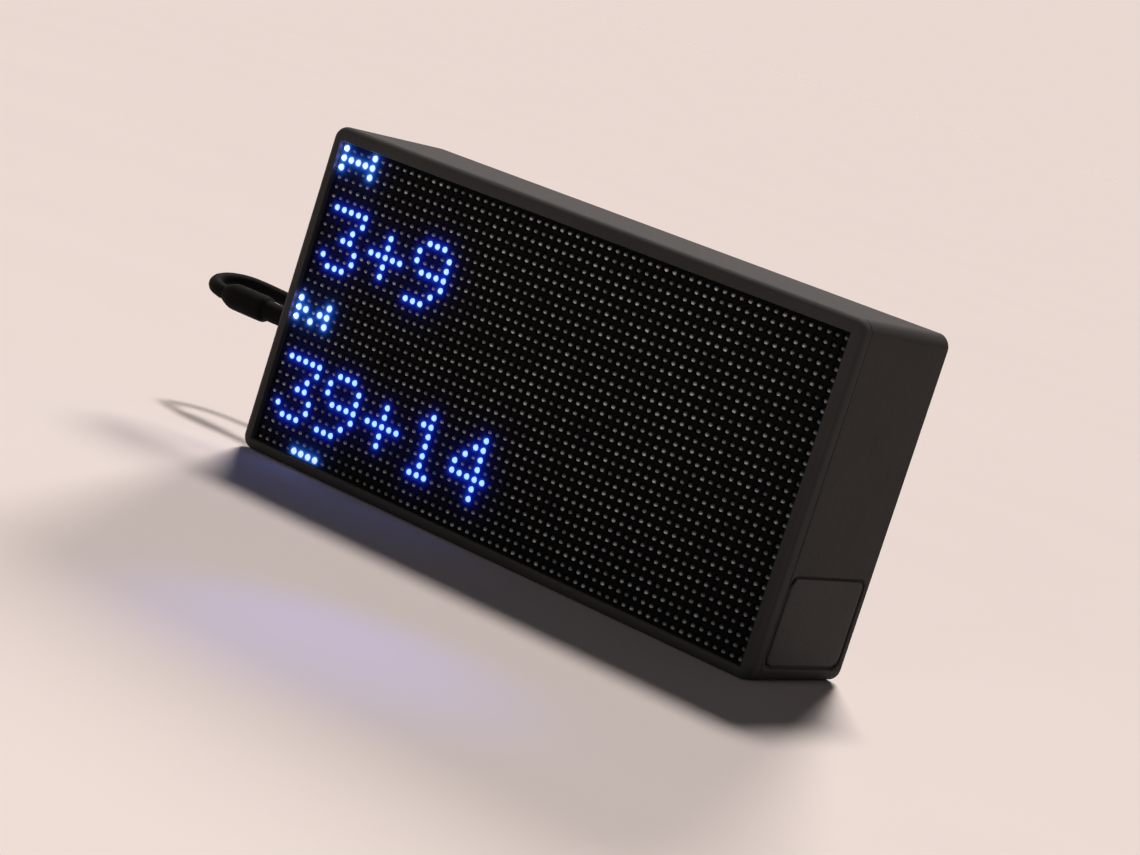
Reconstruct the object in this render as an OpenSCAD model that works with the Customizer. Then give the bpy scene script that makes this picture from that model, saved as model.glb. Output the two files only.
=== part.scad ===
// Desk clock that shows the time as sums on a dot-matrix display.
// Axes: +X to the viewer's right, +Y to the back, +Z up.
// The origin is under the middle of the case, on the surface that it stands on.

/* [Display] */
// Distance from dot to dot
led_pitch = 2.5; // [2.5:0.1:3]
// Dots across
led_cols = 64; // [64:16:96]
// Dots down
led_rows = 32; // [32:16:48]
// Diameter of a lamp's lens
lens_d = 1.2; // [0.8:0.1:1.4]
// Diameter of a window in the mask
window_d = 1.8; // [1.6:0.1:2.1]
// Depth of a lens below the face of the mask
lens_sink = 0.2; // [0.1:0.05:0.5]
// Thickness of the mask
mask_t = 1.4; // [1:0.1:2]
// Thickness of the lamps' base layer
lamp_base_t = 0.5; // [0.4:0.1:1]
// Thickness of the display's circuit board
panel_board_t = 1.6; // [1:0.2:2]
// Depth of the moulded frame behind that board
panel_frame_depth = 10; // [9:0.5:11]
// Wall of that frame
panel_frame_wall = 2; // [1.6:0.1:3]

/* [Case] */
// Width of the bezel beside the display
bezel_side = 3.5; // [3.2:0.1:8]
// Width of the bezel above the display
bezel_top = 4; // [3:0.1:8]
// Width of the bezel below the display
bezel_bottom = 3; // [3:0.1:8]
// How far the bezel stands in front of the mask
bezel_lip = 1.4; // [0.8:0.1:2]
// Depth of the bezel's side, from the front to the seam
bezel_depth = 4; // [3:0.5:6]
// Depth of the tongue that holds the bezel in the shell
skirt_depth = 5; // [3:0.5:8]
// Thickness of that tongue
skirt_t = 0.8; // [0.6:0.1:1]
// Depth of the whole case
case_depth = 40; // [40:1:60]
// Thickness of the case's walls
wall = 1.6; // [1.4:0.1:1.8]
// Radius of the case's four long edges
corner_r = 3.5; // [3:0.1:6]
// Rounding of the front edge
edge_r = 2; // [0.5:0.1:2.5]
// Thickness of the rear cover
cover_t = 2.4; // [2.2:0.1:3]
// How far the rear cover lies inside the case's back edge
cover_inset = 1; // [0.8:0.1:2]

/* [Side plate] */
// Length of the plate, front to back
plate_l = 32; // [20:0.5:33]
// Height of the plate
plate_h = 21.5; // [12:0.5:30]
// Thickness of the plate and depth of its recess
plate_t = 0.8; // [0.4:0.1:1]
// Width of the groove around the plate
plate_groove = 0.7; // [0.3:0.1:1]
// Radius of the plate's corners
plate_r = 2; // [1:0.1:4]
// Height of the plate's lower edge
plate_z = 4.2; // [3:0.1:12]
// Distance from the seam to the recess
plate_seam_gap = 0.8; // [0.6:0.1:2]

/* [Buttons] */
// Diameter of a button
button_d = 6; // [5:0.1:7]
// Distance between the buttons
button_step = 12; // [11:0.5:13]
// How far a button stands out of the rear cover
button_proud = 0.7; // [0.4:0.1:0.8]
// How far a button travels
button_travel = 0.5; // [0.2:0.1:0.6]
// Gap around a button
button_gap = 0.3; // [0.2:0.05:0.5]

/* [Electronics] */
// Width of the controller board
ctrl_w = 70; // [70:1:80]
// Height of the controller board
ctrl_h = 44; // [44:1:50]
// Thickness of the controller board
ctrl_t = 1.6; // [1:0.2:2]
// Length of the bosses that carry the controller board
boss_l = 7; // [7:0.1:8]
// Diameter of the coin cell
cell_d = 20; // [16:0.5:20]
// Thickness of the coin cell
cell_t = 3.2; // [1.6:0.1:3.2]

/* [Power lead] */
// Diameter of the lead
cord_d = 4; // [3:0.1:4]
// How far behind the middle of the case the lead comes out
cord_exit_y = 2; // [0:0.5:4]
// Height at which the lead comes out
cord_exit_z = 31.5; // [24:0.5:40]
// Length of the strain relief outside the case
relief_l = 38.5; // [36:0.5:44]
// Length of the strain relief's collar
collar_l = 23; // [12:0.5:24]
// Diameter of the collar
collar_d = 5.4; // [5.4:0.1:6]
// Largest diameter of the strain relief
relief_d = 7.2; // [6:0.1:8]

/* [Hidden] */
$fn = 48;

// Clearances: a sliding fit, a soldered or pressed seat, and the overlap of fused shapes
fit = 0.25;
skirt_fit = 0.15;
seat_gap = 0.05;
bite = 0.5;

// Outer sizes
panel_w = led_cols * led_pitch;
panel_h = led_rows * led_pitch;
panel_z = bezel_bottom + panel_h / 2;
case_w = panel_w + 2 * bezel_side;
case_h = panel_h + bezel_top + bezel_bottom;
front_y = -case_depth / 2;
back_y = case_depth / 2;
seam_y = front_y + bezel_depth;
left_x = -case_w / 2;
right_x = case_w / 2;
inner_r = corner_r - wall;

// Layers of the display, front to back
mask_y = front_y + bezel_lip;
lamp_y = mask_y + mask_t + seat_gap;
panel_board_y = lamp_y + lamp_base_t + seat_gap;
panel_frame_y = panel_board_y + panel_board_t;
panel_frame_back = panel_frame_y + panel_frame_depth;
tile_dots = 16;
tile_gap = 0.06;
panel_inset = 0.2;

// Layers at the back of the case
cover_back = back_y - cover_inset;
cover_y = cover_back - cover_t;
ctrl_back = cover_y - boss_l;
ctrl_y = ctrl_back - ctrl_t;

// Screws: shank, head and the holes for them
screw_d = 2.9;
screw_hole = 3.4;
screw_head_d = 5.5;
screw_head_t = 1.4;
screw_socket_d = 2;
counterbore_d = 6;
cover_screw_l = 9;
tapped_d = 3;
post_r = 4;
post_inset = 3.5;
post_l = 12;
post_x = case_w / 2 - wall - post_inset;
post_z = [wall + post_inset, case_h - wall - post_inset];

// Fastening of the display to tabs on the shell
insert_d = 4.6;
insert_l = 5.7;
insert_x = 50;
insert_inset = 5;
insert_boss_d = 7;
insert_z = panel_h / 2 - insert_inset;
tab_w = 12;
tab_t = 3;
tab_end = 4.5;
panel_screw_l = 8;

// Parts on the back of the display's board
chip = [8.6, 1.5, 3.9];
chip_step_x = 15;
chip_z = [-26, -14, 14, 26];
socket_inset = 18;
socket_x = panel_w / 2 - socket_inset;
socket = [8.8, 6.5, 25.4];
socket_wall = 1.2;
socket_floor = 1.4;
pin_off = 1.27;
pin_w = 0.6;
pin_row = 18;
pin_slot = 1;
pin_slot_row = 18.6;
plug_head = [6.4, 4, 22];
ribbon_w = 20;
ribbon_t = 0.9;
ribbon_flat = 4;
vh_x = 24;
vh_socket = [9, 8, 16];
vh_plug_in = 5;
frame_rib_x = panel_w / 4;

// Parts on the controller board, from its middle
ctrl_x = -20;
ctrl_z = panel_z;
ctrl_hole_inset = 3.5;
ctrl_hole_d = 2.7;
board_screw_d = 2.1;
board_screw_l = 7;
board_head_d = 4.5;
board_head_t = 1.6;
boss_d = 6;
button_row = -12;
header_u = -12;
inlet_u = -29;
terminal = [8, 9, 10.2];
terminal_gap = 1.15;
inlet_v = ctrl_hole_inset - ctrl_h / 2 + board_head_d / 2 + terminal_gap + terminal[2] / 2;
outlet_u = 30;
module_u = 18;
module_v = 6;
module_board = [18, 0.8, 25.5];
module_can = [15.8, 2.3, 17.6];
can_margin = 1.2;
cell_u = -20;
cell_v = 4;
cell_wall = 1.3;
cell_floor = 1;
cell_hold = 0.7;
cell_holder_d = cell_d + 2 * fit + 2 * cell_wall;
clock_size = [10.3, 2.3, 7.5];
clock_gap = 0.3;
clock_u = cell_u + cell_holder_d / 2 + clock_gap + clock_size[0] / 2;
clock_v = 7;
cap_u = 16;
cap_d = 8;
cap_edge = 4;
cap_v = cap_edge + cap_d / 2 - ctrl_h / 2;
cap_l = 11;

// Push-button switches and their caps
switch_w = 6;
switch_h = 3.5;
plunger_d = 3.4;
plunger_gap = 0.1;
plunger_in = 1.5;
flange_d = button_d + 2.4;
flange_t = 1;
flange_back = cover_y - button_gap;
flange_y = flange_back - flange_t;
switch_back = ctrl_back + switch_h;
button_x = [for (i = [-1:1]) ctrl_x + i * button_step];
button_z = ctrl_z + button_row;

// Ventilation slots in the rear cover
vent_count = 12;
vent_step = 8;
vent_w = 2.2;
vent_h = 12;
vent_drop = 14;
vent_z = case_h - wall - vent_drop;

// Wires inside the case
wire_d = 1.6;
wire_spread = 2.5;
wire_sides = 8;
wire_bend = 3;
wire_end = 4;
wire_lead = 1.75;
wire_in = 5;
wire_y = ctrl_y - wire_in;
core_spread = 1.2;
relief_flange_d = 9;
relief_flange_t = 2.2;
relief_neck_d = 5;
relief_hole_d = 5.2;
relief_tip_wall = 0.5;
relief_body_l = 11.5;
swell_l = 1;
relief_in_x = left_x + wall + seat_gap;
relief_end_x = left_x - relief_l;
inlet_x = ctrl_x + inlet_u - terminal[0] / 2;
inlet_z = ctrl_z + inlet_v;

// Route of the lead to the coil, by points chosen by hand: a loop, measured from the end of the
// strain relief, and a run behind the case, measured from the case's back edge
lead_loop = [
    [0, 0, 0], [-2.2, 0, 0], [-5.2, 0.8, 0.3], [-7.8, 2.8, 0.8], [-9.5, 5.7, 1.4], [-9.9, 9, 1.9],
    [-9.1, 12.3, 2.2], [-7.1, 15.1, 2.3], [-4.2, 17.1, 2.1], [-0.4, 18.4, 1.8]
];
lead_run = [
    [-114, 1.8, 32.7], [-105, 3.2, 31.4], [-97, 4.4, 29], [-89, 5.2, 25.2], [-81, 5.6, 20.4],
    [-73, 5.4, 15.2], [-65, 4.9, 10.2], [-57, 4.3, 6.2], [-50, 3.9, 3.7], [-44, 3.7, 2.6],
    [-38, 3.7, 2.9], [-34, 3.7, 2.9]
];
lead_route = concat(
    [for (p = lead_loop) p + [relief_end_x, cord_exit_y, cord_exit_z]],
    [for (p = lead_run) p + [0, back_y, 0]]
);

// Coil of the spare lead behind the case: layers that spiral in and out again
coil_x = -30;
coil_behind = 26.2;
coil_y = back_y + coil_behind;
coil_z = 2.9;
coil_out_r = 22.5;
coil_step = 4.5;
coil_layers = 4;
coil_turns = 1.625;
coil_rings = 24;
coil_sides = 6;
lead_sides = 8;
coil_in_r = coil_out_r - coil_step * coil_turns;
coil_tail = 46;
coil_tail_z = 4.2;
coil_tail_shift = 6.3;
tie_t = 0.8;
tie_w = 8;
tie_gap = 0.1;
tie_slack = 1;
tie_r = 2.4;
tie_angle = -12;

// Plug at the end of the lead
grip = [28, 15.6, 8.2];
grip_r = 3;
grip_neck_l = 7;
grip_neck_d = [5, 6.6];
usb = [18.6, 12, 4.5];
usb_wall = 0.4;
usb_window = [2.6, 2.2];
usb_window_x = 5.5;
usb_window_y = 2.8;
tongue_t = 1.9;
tongue_back = 0.6;

function unit(v) = v / norm(v);

// A circuit-board part's place, from its offset along and up the controller board
function on_board(u, v) = [ctrl_x + u, ctrl_z + v];

// An upright plate: a shape drawn in X and Z, from y to y + t
module slab(y, t) {
    translate([0, y + t, 0]) rotate([90, 0, 0]) linear_extrude(t) children();
}

// A block whose size is given, centred in X and Z, with its front face at y
module block(size, place, y) {
    translate([place[0] - size[0] / 2, y, place[1] - size[2] / 2]) cube(size);
}

// A round bar along Y, from y to y + l
module rod(d, place, y, l) {
    translate([place[0], y + l, place[1]]) rotate([90, 0, 0]) cylinder(d = d, h = l);
}

module rounded(w, h, r) {
    square([w - 2 * r, h], center = true);
    square([w, h - 2 * r], center = true);
    for (i = [-1, 1], j = [-1, 1]) translate([i * (w / 2 - r), j * (h / 2 - r)]) circle(r);
}

module slot(w, h) {
    square([w, h - w], center = true);
    for (j = [-1, 1]) translate([0, j * (h - w) / 2]) circle(d = w);
}

// The case's outline, inside its outer faces by the amount given
module case_outline(inside) {
    translate([0, case_h / 2]) rounded(case_w - 2 * inside, case_h - 2 * inside, corner_r - inside);
}

module at_corners(dx, z) {
    for (i = [-1, 1], h = z) translate([i * dx, h]) children();
}

// Tube with its rings square to the route that it follows
function ring_dir(p, i) = unit(p[min(i + 1, len(p) - 1)] - p[max(i - 1, 0)]);
function ring_side(d) = unit(cross(d, abs(d[2]) > 0.9 ? [1, 0, 0] : [0, 0, 1]));
function ring(c, d, r, n) = [
    for (k = [0:n - 1]) c + r * (cos(360 * (k + 0.5) / n) * ring_side(d)
        + sin(360 * (k + 0.5) / n) * cross(ring_side(d), d))
];
module tube(route, d, n) {
    last = len(route) - 1;
    points = [
        route[0],
        for (i = [0:last]) each ring(route[i], ring_dir(route, i), d / 2, n),
        route[last]
    ];
    end = len(points) - 1;
    polyhedron(points, [
        for (k = [0:n - 1]) [0, 1 + k, 1 + (k + 1) % n],
        for (i = [0:last - 1], k = [0:n - 1]) each [
            [1 + i * n + k, 1 + (i + 1) * n + k, 1 + (i + 1) * n + (k + 1) % n],
            [1 + i * n + k, 1 + (i + 1) * n + (k + 1) % n, 1 + i * n + (k + 1) % n]
        ],
        for (k = [0:n - 1]) [end, 1 + last * n + (k + 1) % n, 1 + last * n + k]
    ]);
}

function route_length(p, i = 1) = i == len(p) ? 0 : norm(p[i] - p[i - 1]) + route_length(p, i + 1);

// Bezel

// Section of the bezel's edge: the outer face is at 0, the front at 0 and the back at bezel_depth
module edge_section() {
    difference() {
        translate([-corner_r, 0]) square([corner_r, bezel_depth]);
        difference() {
            translate([-edge_r, -1]) square([edge_r + 1, edge_r + 1]);
            translate([-edge_r, edge_r]) circle(edge_r);
        }
    }
}

// A straight edge of the bezel along X, with its outer face up
module straight_edge(l) {
    translate([-l / 2, front_y, 0]) rotate([90, 0, 90]) linear_extrude(l)
        rotate(90) mirror([0, 1]) edge_section();
}

module bezel_block() {
    across = case_w - 2 * corner_r;
    up = case_h - 2 * corner_r;
    slab(front_y, bezel_depth) translate([0, case_h / 2]) square([across, up], center = true);
    translate([0, 0, case_h]) straight_edge(across);
    rotate([0, 180, 0]) straight_edge(across);
    translate([right_x, 0, case_h / 2]) rotate([0, 90, 0]) straight_edge(up);
    translate([left_x, 0, case_h / 2]) rotate([0, -90, 0]) straight_edge(up);
    for (i = [0:3]) {
        place = [(i == 0 || i == 3 ? 1 : -1) * across / 2, (i < 2 ? 1 : -1) * up / 2];
        translate([place[0], front_y, case_h / 2 + place[1]]) rotate([-90, 0, 0]) rotate(-90 * (i + 1))
            rotate_extrude(angle = 90) translate([corner_r, 0]) edge_section();
    }
}

module front_bezel() {
    color("#2c2a29") {
        difference() {
            bezel_block();
            slab(front_y - 1, bezel_depth + 2) translate([0, panel_z])
                square([panel_w + 2 * fit, panel_h + 2 * fit], center = true);
        }
        slab(seam_y - bite, skirt_depth + bite) difference() {
            case_outline(wall + skirt_fit);
            case_outline(wall + skirt_fit + skirt_t);
        }
    }
}

// Shell

module panel_tab(side) {
    root_z = side > 0 ? case_h - wall / 2 : wall / 2;
    hole_z = panel_z + side * insert_z;
    tip_z = hole_z - side * tab_end;
    slab(panel_frame_back, tab_t) difference() {
        translate([-tab_w / 2, min(root_z, tip_z)]) square([tab_w, abs(root_z - tip_z)]);
        translate([0, hole_z]) circle(d = screw_hole);
    }
}

plate_y = seam_y + plate_seam_gap + plate_groove + plate_l / 2;
module plate_outline(margin) {
    translate([plate_y, plate_z + plate_h / 2])
        rounded(plate_l + 2 * margin, plate_h + 2 * margin, plate_r + margin);
}

// A plate that lies against the right side, from the depth given outward
module side_slab(depth, t) {
    translate([right_x - depth, 0, 0]) rotate([90, 0, 90]) linear_extrude(t) children();
}

module case_shell() {
    color("#2b2928") difference() {
        union() {
            slab(seam_y, back_y - seam_y) difference() {
                case_outline(0);
                case_outline(wall);
            }
            for (i = [-1, 1], side = [-1, 1]) translate([i * insert_x, 0, 0]) panel_tab(side);
            slab(cover_y - post_l, post_l) intersection() {
                at_corners(post_x, post_z) circle(post_r);
                case_outline(wall / 2);
            }
        }
        slab(cover_y - post_l + 1, post_l) at_corners(post_x, post_z) circle(d = tapped_d);
        side_slab(plate_t, plate_t + 1) plate_outline(plate_groove);
        translate([left_x - 1, cord_exit_y, cord_exit_z]) rotate([0, 90, 0])
            cylinder(d = relief_hole_d, h = wall + 2);
    }
}

module side_plate() {
    color("#2e2c2b") side_slab(plate_t, plate_t) plate_outline(0);
}

// Rear cover

module rear_cover() {
    bosses = [for (i = [-1, 1], j = [-1, 1])
        on_board(i * (ctrl_w / 2 - ctrl_hole_inset), j * (ctrl_h / 2 - ctrl_hole_inset))];
    color("#2a2827") difference() {
        union() {
            slab(cover_y, cover_t) case_outline(wall + fit);
            for (b = bosses) rod(boss_d, b, ctrl_back, boss_l + bite);
        }
        slab(cover_y - 1, cover_t + 2) at_corners(post_x, post_z) circle(d = screw_hole);
        slab(cover_back - screw_head_t, screw_head_t + 1) at_corners(post_x, post_z)
            circle(d = counterbore_d);
        for (x = button_x) rod(button_d + 2 * button_gap, [x, button_z], cover_y - 1, cover_t + 2);
        slab(cover_y - 1, cover_t + 2) for (i = [0:vent_count - 1])
            translate([(i - (vent_count - 1) / 2) * vent_step, vent_z]) slot(vent_w, vent_h);
        for (b = bosses) rod(board_screw_d + 2 * seat_gap, b, ctrl_back - 1, board_screw_l + 1);
    }
}

module rear_cover_screws() {
    color("#3a3a3c") {
        slab(cover_back - screw_head_t, screw_head_t) at_corners(post_x, post_z) difference() {
            circle(d = screw_head_d);
            circle(d = screw_socket_d, $fn = 6);
        }
        slab(cover_back - screw_head_t - cover_screw_l, cover_screw_l) at_corners(post_x, post_z)
            circle(d = screw_d);
    }
}

// Display

tile_w = tile_dots * led_pitch;

// One square of dots, repeated over the whole display
module on_tiles() {
    for (c = [0:led_cols / tile_dots - 1], r = [0:led_rows / tile_dots - 1])
        translate([(c + 0.5) * tile_w - panel_w / 2, 0, (r + 0.5) * tile_w - panel_h / 2 + panel_z])
            children();
}

module tile_of_dots(d) {
    for (c = [0:tile_dots - 1], r = [0:tile_dots - 1])
        translate([(c - (tile_dots - 1) / 2) * led_pitch, (r - (tile_dots - 1) / 2) * led_pitch])
            circle(d = d);
}

module led_mask() {
    color("#101011") on_tiles() slab(mask_y, mask_t) difference() {
        square(tile_w - tile_gap, center = true);
        tile_of_dots(window_d);
    }
}

module led_lamps() {
    lens_front = mask_y + lens_sink;
    color("#b9bcc4") on_tiles() {
        slab(lamp_y, lamp_base_t) square(tile_w - tile_gap, center = true);
        slab(lens_front, lamp_y + lamp_base_t / 2 - lens_front) tile_of_dots(lens_d);
    }
}

module panel_outline(margin) {
    translate([0, panel_z]) square([panel_w - 2 * margin, panel_h - 2 * margin], center = true);
}

module panel_board() {
    color("#20352a") slab(panel_board_y, panel_board_t) panel_outline(panel_inset);
}

module at_inserts() {
    at_corners(insert_x, [panel_z - insert_z, panel_z + insert_z]) children();
}

module panel_frame() {
    hole_l = panel_screw_l;
    color("#17171a") difference() {
        slab(panel_frame_y, panel_frame_depth) {
            difference() {
                panel_outline(panel_inset);
                panel_outline(panel_inset + panel_frame_wall);
            }
            for (i = [-1, 1]) translate([i * frame_rib_x, panel_z])
                square([panel_frame_wall, panel_h - panel_frame_wall], center = true);
            at_inserts() circle(d = insert_boss_d);
        }
        slab(panel_frame_back - hole_l, hole_l + 1) at_inserts() circle(d = insert_d + 2 * seat_gap);
    }
}

module frame_inserts() {
    color("#b08d4a") slab(panel_frame_back - insert_l, insert_l) at_inserts() difference() {
        circle(d = insert_d);
        circle(d = tapped_d);
    }
}

module panel_screws() {
    tab_back = panel_frame_back + tab_t;
    color("#9a9da0") {
        slab(tab_back, screw_head_t) at_inserts() circle(d = screw_head_d);
        slab(tab_back - panel_screw_l, panel_screw_l) at_inserts() circle(d = screw_d);
    }
}

module driver_chips() {
    color("#1b1b1d") for (i = [-1, 1], s = [-0.5, 0.5], z = chip_z)
        block(chip, [i * frame_rib_x / 2 + s * chip_step_x, panel_z + z], panel_frame_y);
}

// A shrouded pin header that stands on a board and opens along Y
module shroud(size, side) {
    difference() {
        cube(size, center = true);
        translate([0, side * socket_floor, 0])
            cube([size[0] - 2 * socket_wall, size[1], size[2] - 2 * socket_wall], center = true);
    }
    translate([0, -side * bite, 0]) for (i = [-1, 1])
        translate([i * pin_off, 0, 0]) cube([pin_w, size[1] - 2 * bite, pin_row], center = true);
}

module data_socket(x) {
    color("#141416") translate([x, panel_frame_y + socket[1] / 2, panel_z]) shroud(socket, 1);
}

module data_socket_in() { data_socket(-socket_x); }

module data_socket_out() { data_socket(socket_x); }

module board_data_header() {
    color("#141416") translate([ctrl_x + header_u, ctrl_y - socket[1] / 2, ctrl_z]) shroud(socket, -1);
}

// The part of a ribbon's plug that goes between the walls of a header, and its head; it points along +Y
module ribbon_plug() {
    tip_l = socket[1] - socket_floor - fit;
    tip = [socket[0] - 2 * socket_wall - 2 * fit, tip_l, socket[2] - 2 * socket_wall - 2 * fit];
    difference() {
        union() {
            translate([-plug_head[0] / 2, -plug_head[1], -plug_head[2] / 2]) cube(plug_head);
            translate([-tip[0] / 2, -bite, -tip[2] / 2]) cube([tip[0], tip[1] + bite, tip[2]]);
        }
        for (i = [-1, 1]) translate([i * pin_off - pin_slot / 2, 0, -pin_slot_row / 2])
            cube([pin_slot, tip_l + 1, pin_slot_row]);
    }
}

panel_plug_y = panel_frame_y + socket[1];
board_plug_y = ctrl_y - socket[1];

module ribbon_plug_panel() {
    color("#1d1d20") translate([-socket_x, panel_plug_y, panel_z]) rotate([0, 0, 180]) ribbon_plug();
}

module ribbon_plug_board() {
    color("#1d1d20") translate([ctrl_x + header_u, board_plug_y, ctrl_z]) ribbon_plug();
}

module ribbon_cable() {
    x1 = -socket_x + plug_head[0] / 2;
    x2 = ctrl_x + header_u - plug_head[0] / 2;
    y1 = panel_plug_y + plug_head[1] / 2;
    y2 = board_plug_y - plug_head[1] / 2;
    path = [[x1, y1], [x1 + ribbon_flat, y1], [x2 - ribbon_flat, y2], [x2, y2]];
    last = len(path) - 1;
    color("#8d8f93") translate([0, 0, panel_z - ribbon_w / 2]) linear_extrude(ribbon_w) polygon([
        for (p = path) p - [0, ribbon_t / 2],
        for (i = [last:-1:0]) path[i] + [0, ribbon_t / 2]
    ]);
}

module panel_power_socket() {
    color("#d8d4c6") translate([vh_x, panel_frame_y + vh_socket[1] / 2, panel_z]) difference() {
        cube(vh_socket, center = true);
        translate([0, vh_socket[1] - vh_plug_in, 0])
            cube(vh_socket - [2 * socket_wall, 0, 2 * socket_wall], center = true);
    }
}

// The plug ends where its wires begin to bend towards the controller
vh_plug_y = panel_frame_y + vh_socket[1] - vh_plug_in + fit;
vh_plug_back = wire_y - wire_bend - wire_lead;

module panel_power_plug() {
    margin = 2 * socket_wall + 2 * fit;
    size = [vh_socket[0] - margin, vh_plug_back - vh_plug_y, vh_socket[2] - margin];
    color("#e0dccd") block(size, [vh_x, panel_z], vh_plug_y);
}

module panel_power_wires() {
    to_x = ctrl_x + outlet_u + terminal[0] / 2;
    bend = [for (a = [0:30:90]) [vh_x - wire_bend * (1 - cos(a)), wire_y - wire_bend * (1 - sin(a)), 0]];
    route = concat([[vh_x, vh_plug_back, 0]], bend, [[to_x, wire_y, 0]]);
    color("#a01818") for (s = [-1, 1])
        translate([0, 0, panel_z + s * wire_spread]) tube(route, wire_d, wire_sides);
}

// Controller

module controller_board() {
    color("#1c3b2c") slab(ctrl_y, ctrl_t) difference() {
        translate([ctrl_x, ctrl_z]) square([ctrl_w, ctrl_h], center = true);
        at_board_corners() circle(d = ctrl_hole_d);
    }
}

module at_board_corners() {
    for (i = [-1, 1], j = [-1, 1])
        translate(on_board(i * (ctrl_w / 2 - ctrl_hole_inset), j * (ctrl_h / 2 - ctrl_hole_inset)))
            children();
}

module board_screws() {
    color("#9a9da0") {
        slab(ctrl_y - board_head_t, board_head_t) at_board_corners() circle(d = board_head_d);
        slab(ctrl_y, board_screw_l) at_board_corners() circle(d = board_screw_d);
    }
}

module processor_module() {
    place = on_board(module_u, module_v);
    can_drop = (module_board[2] - module_can[2]) / 2 - can_margin;
    color("#b4b7ba") {
        block(module_board, place, ctrl_back);
        block(module_can + [0, bite, 0], place - [0, can_drop], ctrl_back + module_board[1] - bite);
    }
}

module clock_chip() {
    color("#1b1b1d") block(clock_size, on_board(clock_u, clock_v), ctrl_back);
}

module coin_cell_holder() {
    color("#232326") difference() {
        rod(cell_holder_d, on_board(cell_u, cell_v), ctrl_back, cell_floor + cell_t * cell_hold);
        rod(cell_d + 2 * fit, on_board(cell_u, cell_v), ctrl_back + cell_floor, cell_t + 1);
    }
}

module coin_cell() {
    color("#c9ccd0") rod(cell_d, on_board(cell_u, cell_v), ctrl_back + cell_floor, cell_t);
}

module reservoir_capacitor() {
    color("#22304f") rod(cap_d, on_board(cap_u, cap_v), ctrl_y - cap_l, cap_l);
}

module inlet_terminal() {
    color("#2f7a4a") block(terminal, on_board(inlet_u, inlet_v), ctrl_y - terminal[1]);
}

module panel_terminal() {
    color("#2f7a4a") block(terminal, on_board(outlet_u, 0), ctrl_y - terminal[1]);
}

module inlet_wires() {
    from_x = relief_in_x + relief_flange_t;
    color("#a01818") for (s = [-1, 1]) {
        from = [from_x, cord_exit_y, cord_exit_z + s * core_spread];
        to = [inlet_x, wire_y, inlet_z + s * wire_spread];
        tube([from, from + [wire_end, 0, 0], to - [wire_end, 0, 0], to], wire_d, wire_sides);
    }
}

// Buttons

module switch_body(i) {
    color("#18181a") difference() {
        block([switch_w, switch_h, switch_w], [button_x[i], button_z], ctrl_back);
        rod(plunger_d + 2 * plunger_gap, [button_x[i], button_z],
            switch_back - plunger_in - button_travel - fit, switch_h + 1);
    }
}

module plunger(i) {
    from_y = switch_back - plunger_in;
    color("#c8c2b4") rod(plunger_d, [button_x[i], button_z], from_y, flange_y - from_y);
}

module button(i) {
    stem_y = flange_back - bite;
    color("#3a3837") {
        rod(flange_d, [button_x[i], button_z], flange_y, flange_t);
        rod(button_d, [button_x[i], button_z], stem_y, cover_back + button_proud - stem_y);
    }
}

module switch_set() { switch_body(1); }
module switch_up() { switch_body(2); }
module switch_down() { switch_body(0); }
module plunger_set() { plunger(1); }
module plunger_up() { plunger(2); }
module plunger_down() { plunger(0); }
module button_set() { button(1); }
module button_up() { button(2); }
module button_down() { button(0); }

// Power lead

module strain_relief() {
    tip_r = cord_d / 2 + relief_tip_wall;
    neck_l = wall + seat_gap;
    flange_r = relief_flange_d / 2;
    profile = [
        [0, -neck_l - relief_flange_t], [flange_r, -neck_l - relief_flange_t], [flange_r, -neck_l],
        [relief_neck_d / 2, -neck_l], [relief_neck_d / 2, seat_gap], [collar_d / 2, seat_gap],
        [collar_d / 2, collar_l], [relief_d / 2, collar_l + swell_l],
        [relief_d / 2, collar_l + swell_l + relief_body_l], [tip_r, relief_l], [0, relief_l]
    ];
    color("#161617") translate([left_x, cord_exit_y, cord_exit_z]) rotate([0, -90, 0])
        rotate_extrude() polygon(profile);
}

module power_lead() {
    echo(free_lead_mm = route_length(lead_route));
    color("#161617") tube(lead_route, cord_d, lead_sides);
}

// Angles along the coil's lead, in degrees: each layer is a spiral and a half turn of climb
half_climb = 90;
spiral_deg = 360 * coil_turns;
layer_deg = spiral_deg + 2 * half_climb;
coil_deg = coil_layers * layer_deg - 2 * half_climb;
function layer_of(a) = min(floor(a / layer_deg), coil_layers - 1);
function in_layer(a) = a - layer_of(a) * layer_deg;
// How far the spiral has gone across its layer; it turns back in the middle of the climb
function across(p) = p <= spiral_deg ? p : spiral_deg + half_climb - abs(p - spiral_deg - half_climb);
function inward(a) = layer_of(a) % 2 == 0 ? across(in_layer(a)) : spiral_deg - across(in_layer(a));
function climbed(a) = layer_of(a) + max(0, min(1, (in_layer(a) - spiral_deg) / (2 * half_climb)));
function coil_point(a) = let (r = coil_out_r - coil_step * inward(a) / 360) [
    coil_x + r * cos(a - 90), coil_y + r * sin(a - 90), coil_z + coil_step * climbed(a)
];
function ease(t) = (1 - cos(180 * max(0, min(1, t)))) / 2;
coil_end = coil_point(coil_deg);
plug_start = [coil_end[0] + coil_tail, coil_end[1] + coil_tail_shift, coil_tail_z];
tail_steps = 10;
tail_first = 2;
function tail_point(i) = let (t = ease((i - tail_first) / (tail_steps - 1 - tail_first))) [
    coil_end[0] + coil_tail * i / tail_steps,
    coil_end[1] + (plug_start[1] - coil_end[1]) * t,
    coil_end[2] + (plug_start[2] - coil_end[2]) * t
];
coil_route = concat(
    [[coil_x - cord_d, coil_y - coil_out_r, coil_z]],
    [for (i = [0:coil_deg * coil_rings / 360]) coil_point(i * 360 / coil_rings)],
    [for (i = [1:tail_steps]) tail_point(i)]
);
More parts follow.
